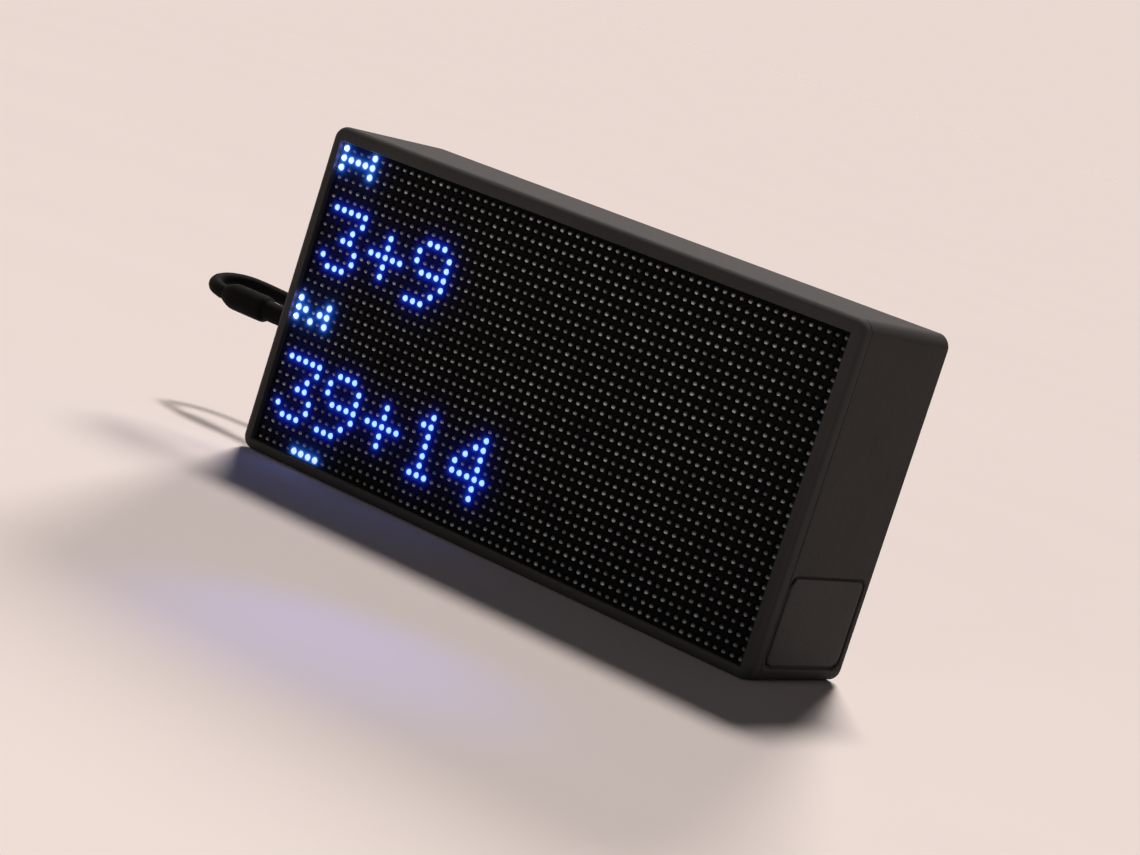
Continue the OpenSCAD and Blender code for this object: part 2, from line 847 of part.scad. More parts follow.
// Least gap between stretches of the coil that are more than half a turn apart
function coil_gap() = min([
    for (i = [0:len(coil_route) - 1]) for (j = [i + coil_rings / 2:1:len(coil_route) - 1])
        norm(coil_route[i] - coil_route[j])
]) - cord_d;

module lead_coil() {
    echo(coil_gap_mm = coil_gap(), coil_lead_mm = route_length(coil_route));
    color("#161617") tube(coil_route, cord_d, coil_sides);
}

module coil_tie() {
    coil_rise = coil_step * (coil_layers - 1);
    inner = [
        coil_out_r - coil_in_r + coil_step / 2 + cord_d + 2 * tie_gap + tie_slack,
        coil_rise + cord_d + 2 * tie_gap
    ];
    middle = [(coil_out_r + coil_in_r) / 2, coil_z + coil_rise / 2];
    color("#202022") translate([coil_x, coil_y, 0]) rotate(tie_angle)
        translate([middle[0], tie_w / 2, middle[1]]) rotate([90, 0, 0]) linear_extrude(tie_w) difference() {
            rounded(inner[0] + 2 * tie_t, inner[1] + 2 * tie_t, tie_r + tie_t);
            rounded(inner[0], inner[1], tie_r);
        }
}

// Place of the plug: its neck starts where the coil's lead ends, and it points along +X
module at_plug() {
    translate(plug_start) children();
}

module plug_grip() {
    color("#161617") at_plug() {
        rotate([0, 90, 0]) cylinder(d1 = grip_neck_d[0], d2 = grip_neck_d[1], h = grip_neck_l + bite);
        translate([grip_neck_l, 0, 0]) rotate([90, 0, 90]) linear_extrude(grip[0])
            rounded(grip[1], grip[2], grip_r);
    }
}

plug_face = grip_neck_l + grip[0];

module plug_shell() {
    color("#b9bcc0") at_plug() translate([plug_face, 0, 0]) difference() {
        translate([0, -usb[1] / 2, -usb[2] / 2]) cube(usb);
        translate([usb_wall, -usb[1] / 2 + usb_wall, -usb[2] / 2 + usb_wall])
            cube([usb[0], usb[1] - 2 * usb_wall, usb[2] - 2 * usb_wall]);
        for (i = [-1, 1]) translate([usb_window_x, i * usb_window_y - usb_window[1] / 2, -usb[2]])
            cube([usb_window[0], usb_window[1], 2 * usb[2]]);
    }
}

module plug_tongue() {
    margin = usb_wall + seat_gap;
    color("#e6e6e2") at_plug() translate([plug_face + usb_wall, margin - usb[1] / 2, margin - usb[2] / 2])
        cube([usb[0] - usb_wall - tongue_back, usb[1] - 2 * margin, tongue_t]);
}

front_bezel();
case_shell();
side_plate();
rear_cover();
rear_cover_screws();
led_mask();
led_lamps();
panel_board();
panel_frame();
frame_inserts();
panel_screws();
driver_chips();
data_socket_in();
data_socket_out();
panel_power_socket();
panel_power_plug();
panel_power_wires();
controller_board();
board_screws();
processor_module();
clock_chip();
coin_cell_holder();
coin_cell();
reservoir_capacitor();
board_data_header();
ribbon_plug_panel();
ribbon_plug_board();
ribbon_cable();
inlet_terminal();
panel_terminal();
inlet_wires();
switch_set();
switch_up();
switch_down();
plunger_set();
plunger_up();
plunger_down();
button_set();
button_up();
button_down();
strain_relief();
power_lead();
lead_coil();
coil_tie();
plug_grip();
plug_shell();
plug_tongue();
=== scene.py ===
"""Looks of a desk clock with a dot-matrix display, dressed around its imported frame. Units are metres."""
import math

import bmesh
import bpy
import numpy as np
from mathutils import Matrix, Vector


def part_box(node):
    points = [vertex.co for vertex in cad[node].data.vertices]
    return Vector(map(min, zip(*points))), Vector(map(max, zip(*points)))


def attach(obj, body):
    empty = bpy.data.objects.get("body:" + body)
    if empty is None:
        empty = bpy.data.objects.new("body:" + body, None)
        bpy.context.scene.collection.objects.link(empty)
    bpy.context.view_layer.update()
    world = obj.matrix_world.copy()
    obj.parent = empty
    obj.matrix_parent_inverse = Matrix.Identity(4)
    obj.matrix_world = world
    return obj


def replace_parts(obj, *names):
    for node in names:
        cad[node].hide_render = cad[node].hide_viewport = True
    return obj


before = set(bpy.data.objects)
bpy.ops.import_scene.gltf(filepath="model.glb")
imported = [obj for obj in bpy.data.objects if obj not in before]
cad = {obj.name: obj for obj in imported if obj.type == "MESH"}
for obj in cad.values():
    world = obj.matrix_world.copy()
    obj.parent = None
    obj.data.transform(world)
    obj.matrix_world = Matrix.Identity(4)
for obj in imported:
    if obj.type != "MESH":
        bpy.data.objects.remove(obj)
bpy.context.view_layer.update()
scene = bpy.context.scene
scene.view_settings.view_transform = "Standard"
MM = 0.001
TAU = 2 * math.pi


# Camera

IMAGE_WIDTH_PX = 1140
FOCAL_PX = 3003.5
SENSOR_MM = 36
CAMERA_AT = Vector((0.42378, -0.60128, 0.13595))
CAMERA_FORWARD = Vector((-0.56993, 0.81034, -0.13611))
CAMERA_UP = Vector((-0.3235, -0.06902, 0.94371))


def make_camera():
    lens = bpy.data.cameras.new("camera")
    lens.sensor_width = SENSOR_MM
    lens.lens = FOCAL_PX / IMAGE_WIDTH_PX * SENSOR_MM
    camera = bpy.data.objects.new("camera", lens)
    back = -CAMERA_FORWARD.normalized()
    right = CAMERA_UP.cross(back).normalized()
    turn = Matrix((right, back.cross(right), back)).transposed().to_4x4()
    camera.matrix_world = Matrix.Translation(CAMERA_AT) @ turn
    scene.collection.objects.link(camera)
    scene.camera = camera


make_camera()


# Building blocks

SHARP_ANGLE = math.radians(60)
SAME_POINT = 2e-6
BEVEL_SEGMENTS = 2
BEVEL_ANGLE = math.radians(35)
FLAT_FACE_WEIGHT = 80


def add_piece(name, verts, faces, body="case"):
    """A new mesh piece that rides on a body, shaded smooth but for its sharp edges."""
    mesh = bpy.data.meshes.new(name)
    mesh.from_pydata([tuple(v) for v in verts], [], [tuple(f) for f in faces])
    mesh.update()
    mesh.shade_smooth()
    mesh.set_sharp_from_angle(angle=SHARP_ANGLE)
    obj = bpy.data.objects.new(name, mesh)
    scene.collection.objects.link(obj)
    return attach(obj, body)


def loft_faces(rings, points):
    """Quads between rings of points that are numbered one ring after the other."""
    faces = []
    for r in range(rings - 1):
        this, following = r * points, (r + 1) * points
        for p in range(points):
            q = (p + 1) % points
            faces.append((this + p, this + q, following + q, following + p))
    return faces


def solid_faces(rings, points):
    """Faces of a solid through rings, which turn to the right about the way from the first to the last."""
    end = (rings - 1) * points
    return [*loft_faces(rings, points), tuple(reversed(range(points))), tuple(range(end, end + points))]


def closed_loft(name, rings, body="case"):
    points = len(rings[0])
    return add_piece(name, [p for ring in rings for p in ring], solid_faces(len(rings), points), body)


def ring_about(middle, side, other, radius, steps):
    """Points of a circle, from one side of its middle towards the other."""
    return [
        middle + radius * (side * math.cos(TAU * k / steps) + other * math.sin(TAU * k / steps))
        for k in range(steps)
    ]


def lathe(name, profile, place, axis, steps, body="case"):
    """A turned piece: the profile is (distance along the axis, radius), from a place along an axis."""
    place = Vector(place)
    axis = Vector(axis)
    side = axis.orthogonal().normalized()
    other = axis.cross(side)
    rings = [ring_about(place + axis * along, side, other, radius, steps) for along, radius in profile]
    return closed_loft(name, rings, body)


def soften(name, width, clamp):
    """Rounds the sharp edges of a CAD node as it is shown; clamp keeps roundings from meeting."""
    obj = cad[name]
    weld = obj.modifiers.new("weld", "WELD")
    weld.merge_threshold = SAME_POINT
    bevel = obj.modifiers.new("bevel", "BEVEL")
    bevel.width = width
    bevel.segments = BEVEL_SEGMENTS
    bevel.limit_method = "ANGLE"
    bevel.angle_limit = BEVEL_ANGLE
    bevel.use_clamp_overlap = clamp
    normals = obj.modifiers.new("normals", "WEIGHTED_NORMAL")
    normals.mode = "FACE_AREA"
    normals.weight = FLAT_FACE_WEIGHT


def dress(obj, material):
    obj.data.materials.clear()
    obj.data.materials.append(material)
    return obj


# Materials

# Most values of a noise texture lie between these
NOISE_LOW = 0.3
NOISE_HIGH = 0.7
CASE_DARK = (0.0192, 0.0178, 0.0171)
CASE_LIGHT = (0.0222, 0.0206, 0.0198)


class Shader:
    """A Principled material whose inputs can be set to numbers or linked to texture nodes.

    In names of inputs, an underscore stands for a space.
    """

    def __init__(self, name, **inputs):
        self.material = bpy.data.materials.new(name)
        self.material.use_nodes = True
        self.tree = self.material.node_tree
        self.bsdf = self.tree.nodes["Principled BSDF"]
        self.set_numbers(self.bsdf, inputs)
        self.where = self.node("TexCoord").outputs["Object"]

    def set_numbers(self, node, inputs):
        for key, value in inputs.items():
            node.inputs[key.replace("_", " ")].default_value = value

    def node(self, kind, **inputs):
        node = self.tree.nodes.new("ShaderNode" + kind)
        self.set_numbers(node, inputs)
        return node

    def link(self, out, into):
        self.tree.links.new(out, into)

    def noise(self, size, detail, stretch=(1, 1, 1)):
        place = self.node("Mapping", Scale=stretch)
        texture = self.node("TexNoise", Scale=1 / size, Detail=detail)
        self.link(self.where, place.inputs["Vector"])
        self.link(place.outputs["Vector"], texture.inputs["Vector"])
        return texture.outputs["Fac"]

    def ramp(self, factor, *stops):
        ramp = self.node("ValToRGB")
        band = ramp.color_ramp
        while len(band.elements) < len(stops):
            band.elements.new(0.5)
        for element, (at, colour) in zip(band.elements, stops):
            element.position = at
            element.color = (*colour, 1)
        self.link(factor, ramp.inputs["Fac"])
        return ramp.outputs["Color"]

    def vector_math(self, operation, one):
        node = self.node("VectorMath")
        node.operation = operation
        self.link(one, node.inputs[0])
        return node

    def multiply(self, one, other):
        product = self.vector_math("MULTIPLY", one)
        self.link(other, product.inputs[1])
        return product.outputs["Vector"]

    def along(self, one, direction):
        """How far a vector reaches in a direction."""
        product = self.vector_math("DOT_PRODUCT", one)
        product.inputs[1].default_value = direction
        return product.outputs["Value"]

    def mapped(self, value, low, high, to_low=0, to_high=1):
        scaled = self.node("MapRange", From_Min=low, From_Max=high, To_Min=to_low, To_Max=to_high)
        self.link(value, scaled.inputs["Value"])
        return scaled.outputs["Result"]

    def spread(self, noise, low, high):
        return self.mapped(noise, NOISE_LOW, NOISE_HIGH, low, high)

    def bump(self, height, depth, strength, under=None):
        bump = self.node("Bump", Strength=strength, Distance=depth)
        self.link(height, bump.inputs["Height"])
        if under is not None:
            self.link(under, bump.inputs["Normal"])
        return bump.outputs["Normal"]

    def stored(self, name):
        """A colour that a piece stores at its points."""
        attribute = self.node("Attribute")
        attribute.attribute_name = name
        return attribute.outputs["Color"]

    def set(self, **outputs):
        for key, out in outputs.items():
            self.link(out, self.bsdf.inputs[key.replace("_", " ")])
        return self.material


def printed_plastic(name, lines=0.04, gloss=(0.68, 0.84)):
    """Matte plastic in fine layers across Y, some darker by the share lines, with a little grain."""
    s = Shader(name, Specular_IOR_Level=0.24)
    layers = s.noise(size=0.35 * MM, detail=1, stretch=(0.03, 1, 0.03))
    bands = s.noise(size=0.9 * MM, detail=1, stretch=(0.012, 1, 0.012))
    grain = s.noise(size=0.22 * MM, detail=3)
    cloud = s.noise(size=14 * MM, detail=3)
    colour = s.ramp(cloud, (0.35, CASE_DARK), (0.65, CASE_LIGHT))
    shade = s.ramp(bands, (0.38, [1 - lines] * 3), (0.62, [1 + lines] * 3))
    fine_ridges = s.bump(layers, depth=0.05 * MM, strength=0.7)
    ridges = s.bump(bands, depth=lines * 0.5 * MM, strength=0.7, under=fine_ridges)
    return s.set(
        Base_Color=s.multiply(colour, shade),
        Roughness=s.spread(grain, *gloss),
        Normal=s.bump(grain, depth=0.02 * MM, strength=0.55, under=ridges),
    )


def plain_finish(name, colour, roughness, metallic=0, grain=0.4 * MM, depth=0.01 * MM, specular=0.5):
    """A colour with slight cloudiness, an uneven gloss and a fine grain."""
    s = Shader(name, Metallic=metallic, Specular_IOR_Level=specular)
    fine = s.noise(size=grain, detail=3)
    cloud = s.noise(size=6 * MM, detail=2)
    darker = [c * 0.85 for c in colour]
    return s.set(
        Base_Color=s.ramp(cloud, (0.35, darker), (0.65, colour)),
        Roughness=s.spread(fine, roughness * 0.85, min(1, roughness * 1.15)),
        Normal=s.bump(fine, depth, strength=0.6),
    )


case_plastic = printed_plastic("case_plastic")
bezel_plastic = printed_plastic("bezel_plastic", lines=0.2)
plate_plastic = printed_plastic("plate_plastic", gloss=(0.6, 0.76))
cover_plastic = printed_plastic("cover_plastic")
button_plastic = plain_finish("button_plastic", (0.032, 0.03, 0.0285), 0.5)
cord_rubber = plain_finish(
    "cord_rubber", (0.0015, 0.0015, 0.0016), 0.7, grain=0.6 * MM, specular=0.05,
)
tie_fabric = plain_finish(
    "tie_fabric", (0.009, 0.009, 0.0095), 0.9, grain=0.5 * MM, depth=0.3 * MM, specular=0.2,
)
circuit_board = plain_finish("circuit_board", (0.012, 0.04, 0.024), 0.4)
frame_plastic = plain_finish("frame_plastic", (0.01, 0.01, 0.011), 0.55)
chip_plastic = plain_finish("chip_plastic", (0.012, 0.012, 0.013), 0.5)
connector_plastic = plain_finish("connector_plastic", (0.01, 0.01, 0.011), 0.45)
pale_connector = plain_finish("pale_connector", (0.7, 0.67, 0.58), 0.4)
wire_insulation = plain_finish("wire_insulation", (0.36, 0.01, 0.01), 0.35)
capacitor_sleeve = plain_finish("capacitor_sleeve", (0.015, 0.03, 0.08), 0.25)
ribbon_grey = plain_finish("ribbon_grey", (0.28, 0.28, 0.29), 0.45)
terminal_green = plain_finish("terminal_green", (0.03, 0.19, 0.07), 0.4)
black_steel = plain_finish("black_steel", (0.05, 0.05, 0.053), 0.35, metallic=0.8)
steel = plain_finish("steel", (0.55, 0.56, 0.57), 0.3, metallic=1)
tinned_can = plain_finish("tinned_can", (0.5, 0.51, 0.52), 0.38, metallic=1)
plated_steel = plain_finish("plated_steel", (0.62, 0.63, 0.64), 0.2, metallic=1)
brass = plain_finish("brass", (0.43, 0.27, 0.07), 0.3, metallic=1)
gold_plate = plain_finish("gold_plate", (0.75, 0.5, 0.16), 0.25, metallic=1)


# Display

PITCH = 2.5 * MM
COLUMNS = 64
ROWS = 32
mask_low, mask_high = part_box("led_mask")
DISPLAY_MIDDLE_Z = (mask_low.z + mask_high.z) / 2
MASK_FRONT = mask_low.y
MASK_BACK = mask_high.y
BED_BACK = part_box("led_lamps")[1].y
WINDOW_R = 0.9 * MM
RIM = 0.08 * MM
# A ring of points on the face round each window, which holds the painted glow
COLLAR_R = WINDOW_R + 3 * RIM
LENS_R = 0.62 * MM
DIGIT_R = 0.77 * MM
UNIT_R = 0.88 * MM
DIGIT_PROUD = 0.3 * MM
UNIT_PROUD = 0.45 * MM
DOME_H = 0.66 * MM
# Angles of the rings of a lens's round end
DOME_ANGLES = (0, 30, 55, 76)
WINDOW_STEPS = 16
LENS_STEPS = 12

DIGIT_LIGHT = (0.15, 0.3, 1)
UNIT_LIGHT = (0.235, 0.315, 1)
LIT_STRENGTH = 2.5
LIT_RESIN = (0.4, 0.45, 0.5, 1)
MASK_COLOUR = (0.001, 0.0008, 0.0008)
BED_COLOUR = (0.002, 0.002, 0.002)
# The way along which a lens's painted reflection goes from light below to dark above
LENS_UP = Vector((-0.38, 0, 1)).normalized()
# Painted reflection on a lens, from its underside, painted light as if it mirrored the bright floor, to
# its top, painted dark
LENS_PAINTED_REFLECTION = (
    (0.08, (1, 0.99, 0.97)), (0.25, (0.75, 0.74, 0.725)), (0.42, (0.3, 0.294, 0.288)),
    (0.6, (0.09, 0.088, 0.087)), (0.85, (0.04, 0.04, 0.04)),
)
# How lamps differ from one to the next
LAMP_SHADES = ((0.32, (0.315, 0.32, 0.327)), (0.68, (0.96, 0.985, 1)))
# Painted light on the lamps: how their tone is painted lighter or darker over the display, from side to
# side and from its bottom to its top
LAMP_PAINTED_LIGHT = {
    "x": ((0, 0.62), (0.5, 0.95), (0.8, 1), (0.9, 0.8), (1, 0.55)),
    "z": ((0, 1), (0.4, 0.96), (1, 0.8)),
}

DIGITS = {
    "3": ("#####", "....#", "...#.", "..##.", "....#", "#...#", ".###."),
    "9": (".###.", "#...#", "#...#", ".####", "....#", "...#.", "###.."),
    "1": ("..#..", ".##..", "..#..", "..#..", "..#..", "..#..", ".###."),
    "4": ("...#.", "..##.", ".#.#.", "#..#.", "#####", "...#.", "...#."),
    "+": (".....", "..#..", "..#..", "#####", "..#..", "..#..", "....."),
}
HOURS = ("#...#", "#####", "#...#")
MINUTES = ("#...#", "##.##", "#.#.#")
DIGIT_STEP = 6
# Each figure with its first column and its top row
SUMS = (("3+9", 1, 6), ("39+14", 1, 22))
UNITS = ((HOURS, 0, 0), (MINUTES, 0, 16))
SECONDS_ROW = 31
SECONDS_COLUMNS = range(5, 9)


def dots_of(pattern, column, row):
    return {
        (column + c, row + r)
        for r, line in enumerate(pattern)
        for c, mark in enumerate(line)
        if mark == "#"
    }


def dot_place(column, row):
    return ((column - (COLUMNS - 1) / 2) * PITCH, DISPLAY_MIDDLE_Z + ((ROWS - 1) / 2 - row) * PITCH)


digit_dots = set()
for text, first, top in SUMS:
    for i, character in enumerate(text):
        digit_dots |= dots_of(DIGITS[character], first + i * DIGIT_STEP, top)
unit_dots = {(c, SECONDS_ROW) for c in SECONDS_COLUMNS}
for pattern, column, row in UNITS:
    unit_dots |= dots_of(pattern, column, row)
all_dots = [(c, r) for r in range(ROWS) for c in range(COLUMNS)]
dark_dots = [d for d in all_dots if d not in digit_dots and d not in unit_dots]

# Painted glow that spreads over the face round a lit dot, put on as emission: colour, strength, reach and
# how sharply it ends there
PAINTED_HALOS = (
    (digit_dots, (
        ((0.08, 0.28, 1.0), 0.22, 0.95 * MM, 4),
        ((0.003, 0.03, 1.0), 0.25, 1.5 * MM, 2),
        ((0.004, 0.03, 1.0), 0.04, 1.7 * MM, 1),
    )),
    (unit_dots, (
        ((0.16, 0.54, 1.0), 0.3, 1.12 * MM, 6),
        ((0.008, 0.15, 1.0), 0.34, 1.6 * MM, 2),
        ((0.02, 0.10, 1.0), 0.045, 1.8 * MM, 1),
    )),
)


def add_painted_glow(obj):
    """Paints at each point of a piece, as an emission colour, how much light of the lit dots reaches it.
    """
    count = len(obj.data.vertices)
    points = np.empty(count * 3, np.float32)
    obj.data.vertices.foreach_get("co", points)
    points = points.reshape(-1, 3)
    painted_glow = np.zeros((count, 4), np.float32)
    painted_glow[:, 3] = 1
    for dots, layers in PAINTED_HALOS:
        for dot in sorted(dots):
            x, z = dot_place(*dot)
            away = np.hypot(points[:, 0] - x, points[:, 2] - z)
            for colour, strength, reach, power in layers:
                painted_glow[:, :3] += np.outer(strength * np.exp(-(away / reach) ** power), colour)
    layer = obj.data.attributes.new("painted_glow", "FLOAT_COLOR", "POINT")
    layer.data.foreach_set("color", painted_glow.ravel())
    return obj


def repeated(name, template, faces_at, dots):
    """One piece made of a small form at each dot: points from the dot's middle, and the faces at a dot."""
    template = np.array(template)
    count = len(template)
    verts = []
    joined = []
    for i, dot in enumerate(sorted(dots)):
        x, z = dot_place(*dot)
        verts.extend(template + (x, 0, z))
        joined.extend(tuple(i * count + v for v in f) for f in faces_at(dot))
    return add_piece(name, verts, joined)


def circle(radius, y, steps):
    return [
        (radius * math.cos(TAU * k / steps), y, radius * math.sin(TAU * k / steps))
        for k in range(steps)
    ]


def square_ring(half, y, steps):
    """Points of a circle pushed out to a square."""
    ring = []
    for k in range(steps):
        c, s = math.cos(TAU * k / steps), math.sin(TAU * k / steps)
        reach = half / max(abs(c), abs(s))
        ring.append((reach * c, y, reach * s))
    return ring


def merge_points(obj):
    """Joins the points of a piece that lie together."""
    mesh = bmesh.new()
    mesh.from_mesh(obj.data)
    bmesh.ops.remove_doubles(mesh, verts=mesh.verts, dist=SAME_POINT)
    mesh.to_mesh(obj.data)
    mesh.free()
    return obj


def make_mask(name, dots):
    """A closed plate: at each dot a square with a window, and a wall where the plate ends."""
    rings = (
        square_ring(PITCH / 2, MASK_FRONT, WINDOW_STEPS),
        circle(COLLAR_R, MASK_FRONT, WINDOW_STEPS),
        circle(WINDOW_R + RIM, MASK_FRONT, WINDOW_STEPS),
        circle(WINDOW_R, MASK_FRONT + RIM, WINDOW_STEPS),
        circle(WINDOW_R, MASK_BACK, WINDOW_STEPS),
        square_ring(PITCH / 2, MASK_BACK, WINDOW_STEPS),
    )
    window = loft_faces(len(rings), WINDOW_STEPS)
    back = (len(rings) - 1) * WINDOW_STEPS
    quarter = WINDOW_STEPS // 4
    # For each side of the square, the way to the next dot and the wall from the back to the front
    walls = {}
    for side, way in enumerate(((1, 0), (0, -1), (-1, 0), (0, 1))):
        steps = [(side * quarter - quarter // 2 + k) % WINDOW_STEPS for k in range(quarter + 1)]
        walls[way] = [(back + a, back + b, b, a) for a, b in zip(steps, steps[1:])]

    def faces_at(dot):
        ends = [way for way in walls if (dot[0] + way[0], dot[1] + way[1]) not in dots]
        return window + [face for way in ends for face in walls[way]]

    return merge_points(repeated(name, [p for ring in rings for p in ring], faces_at, dots))


def make_lenses(name, dots, radius=LENS_R, front=MASK_FRONT):
    """Lenses with a round end."""
    points = circle(radius, MASK_BACK, LENS_STEPS)
    for angle in DOME_ANGLES:
        turn = math.radians(angle)
        points += circle(radius * math.cos(turn), front + DOME_H * (1 - math.sin(turn)), LENS_STEPS)
    tip = len(points)
    points.append((0, front, 0))
    faces = loft_faces(1 + len(DOME_ANGLES), LENS_STEPS)
    last = tip - LENS_STEPS
    faces += [(last + k, last + (k + 1) % LENS_STEPS, tip) for k in range(LENS_STEPS)]
    faces.append(tuple(reversed(range(LENS_STEPS))))
    return repeated(name, points, lambda dot: faces, dots)


def make_bed():
    """The layer that carries the lamps, with points at the dots' corners to hold the painted glow."""
    xs = [mask_low.x + (mask_high.x - mask_low.x) * c / COLUMNS for c in range(COLUMNS + 1)]
    zs = [mask_low.z + (mask_high.z - mask_low.z) * r / ROWS for r in range(ROWS + 1)]
    across = COLUMNS + 1
    verts = [(x, MASK_BACK, z) for z in zs for x in xs]
    faces = [
        (r * across + c, r * across + c + 1, (r + 1) * across + c + 1, (r + 1) * across + c)
        for r in range(ROWS)
        for c in range(COLUMNS)
    ]
    border = [
        *range(COLUMNS),
        *(r * across + COLUMNS for r in range(ROWS)),
        *(ROWS * across + c for c in range(COLUMNS, 0, -1)),
        *(r * across for r in range(ROWS, 0, -1)),
    ]
    back = [len(verts) + k for k in range(len(border))]
    verts += [(verts[i][0], BED_BACK, verts[i][2]) for i in border]
    for k in range(len(border)):
        faces.append((border[k], border[k - 1], back[k - 1], back[k]))
    faces.append(tuple(reversed(back)))
    return add_piece("lamp_bed", verts, faces)


def with_painted_glow(name, colour, roughness, **inputs):
    """A surface of the display that also shows the light spread by the lit dots, as painted emission."""
    s = Shader(name, Emission_Strength=1, **inputs)
    fine = s.noise(size=0.3 * MM, detail=3)
    darker = [c * 0.6 for c in colour]
    return s.set(
        Base_Color=s.ramp(fine, (0.35, darker), (0.7, colour)),
        Roughness=s.spread(fine, roughness * 0.9, roughness * 1.1),
        Emission_Color=s.stored("painted_glow"),
        Normal=s.bump(fine, depth=0.015 * MM, strength=0.5),
    )


def resin_with_painted_light(name):
    """Clear grey lens with a painted reflection: what faces down is painted light, as if it mirrored the
    bright table, what faces up is painted dark.
    """
    s = Shader(name, Roughness=0.35, Specular_IOR_Level=0.2, Emission_Strength=1)
    # Painted reflection: the lens's colour is lighter where it faces down and darker where it faces up
    facing = s.along(s.node("NewGeometry").outputs["Normal"], LENS_UP)
    colour = s.ramp(s.mapped(facing, -1, 1), *LENS_PAINTED_REFLECTION)
    colour = s.multiply(colour, s.ramp(s.noise(size=PITCH, detail=0), *LAMP_SHADES))
    place = s.node("SeparateXYZ")
    s.link(s.where, place.inputs["Vector"])
    # Painted light: the lamps are painted lighter or darker across the display and from its bottom to its
    # top
    for axis, painted_tones in LAMP_PAINTED_LIGHT.items():
        across = s.mapped(place.outputs[axis.upper()], getattr(mask_low, axis), getattr(mask_high, axis))
        colour = s.multiply(colour, s.ramp(across, *((at, [tone] * 3) for at, tone in painted_tones)))
    # Painted glow of the lit dots, shown as emission on the dark lenses
    return s.set(Base_Color=colour, Emission_Color=s.stored("painted_glow"))


def lit_lens(name, light):
    s = Shader(name, Base_Color=LIT_RESIN, Roughness=0.25, Emission_Strength=LIT_STRENGTH)
    darker = [c * 0.9 for c in light]
    return s.set(Emission_Color=s.ramp(s.noise(size=0.5 * MM, detail=1), (0.3, darker), (0.7, light)))


mask_plastic = with_painted_glow("mask_plastic", MASK_COLOUR, 0.85, Specular_IOR_Level=0.06)
lamp_resin = resin_with_painted_light("lamp_resin")
for side, columns in (("left", range(COLUMNS // 2)), ("right", range(COLUMNS // 2, COLUMNS))):
    mask = make_mask("display_mask_" + side, {d for d in all_dots if d[0] in columns})
    dress(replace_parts(add_painted_glow(mask), "led_mask"), mask_plastic)
    lenses = make_lenses("lamps_dark_" + side, {d for d in dark_dots if d[0] in columns})
    dress(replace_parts(add_painted_glow(lenses), "led_lamps"), lamp_resin)
dress(add_painted_glow(make_bed()), with_painted_glow("lamp_bed", BED_COLOUR, 0.8))
for name, dots, radius, proud, light in (
    ("lamps_digits", digit_dots, DIGIT_R, DIGIT_PROUD, DIGIT_LIGHT),
    ("lamps_units", unit_dots, UNIT_R, UNIT_PROUD, UNIT_LIGHT),
):
    lit = make_lenses(name, dots, radius, MASK_FRONT - proud)
    dress(lit, lit_lens(name, light))


# Case

FINISH = {
    "front_bezel": bezel_plastic, "case_shell": case_plastic, "side_plate": plate_plastic,
    "rear_cover": cover_plastic, "rear_cover_screws": black_steel,
    "panel_board": circuit_board, "panel_frame": frame_plastic, "frame_inserts": brass,
    "panel_screws": steel, "driver_chips": chip_plastic,
    "data_socket_in": connector_plastic, "data_socket_out": connector_plastic,
    "panel_power_socket": pale_connector, "panel_power_plug": pale_connector,
    "panel_power_wires": wire_insulation, "controller_board": circuit_board, "board_screws": steel,
    "processor_module": tinned_can, "clock_chip": chip_plastic, "coin_cell_holder": connector_plastic,
    "coin_cell": steel, "reservoir_capacitor": capacitor_sleeve, "board_data_header": connector_plastic,
    "ribbon_plug_panel": connector_plastic, "ribbon_plug_board": connector_plastic,
    "ribbon_cable": ribbon_grey,
    "inlet_terminal": terminal_green, "panel_terminal": terminal_green, "inlet_wires": wire_insulation,
    "switch_set": chip_plastic, "switch_up": chip_plastic, "switch_down": chip_plastic,
    "plunger_set": pale_connector, "plunger_up": pale_connector, "plunger_down": pale_connector,
    "coil_tie": tie_fabric, "plug_shell": plated_steel, "plug_tongue": pale_connector,
}
for name, finish in FINISH.items():
    dress(cad[name], finish)

# How far each node's edges are rounded, and whether that is clamped
ROUNDING = {
    "front_bezel": (0.28 * MM, False), "case_shell": (0.28 * MM, False), "side_plate": (0.45 * MM, False),
    "rear_cover": (0.25 * MM, True), "rear_cover_screws": (0.2 * MM, True),
    "plug_shell": (0.15 * MM, True), "coil_tie": (0.25 * MM, True),
}
for name, (width, clamp) in ROUNDING.items():
    soften(name, width, clamp)


# Buttons: a rounded rim and a dished end, on the flange that keeps the cap behind the cover

FLANGE_T = 1 * MM
BUTTON_R = 3 * MM
BUTTON_STEPS = 48
# Depth below the end of the cap, and distance in from its side
CAP_END_MM = (
    (0.6, 0), (0.35, 0.05), (0.15, 0.17), (0.03, 0.36), (0, 0.6), (0.05, 0.85),
    (0.18, 1.3), (0.3, 1.9), (0.36, 2.5), (0.37, 2.9),
)


def make_button(node, body):
    low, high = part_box(node)
    middle = (low + high) / 2
    flange_r = (high.x - low.x) / 2
    length = high.y - low.y
    profile = [(0, flange_r), (FLANGE_T, flange_r), (FLANGE_T, BUTTON_R)]
    profile += [(length - down * MM, BUTTON_R - inside * MM) for down, inside in CAP_END_MM]
    cap = lathe(node + "_cap", profile, (middle.x, low.y, middle.z), (0, 1, 0), BUTTON_STEPS, body)
    dress(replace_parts(cap, node), button_plastic)


for node, body in (("button_set", "set_key"), ("button_up", "up_key"), ("button_down", "down_key")):
    make_button(node, body)


# Power lead

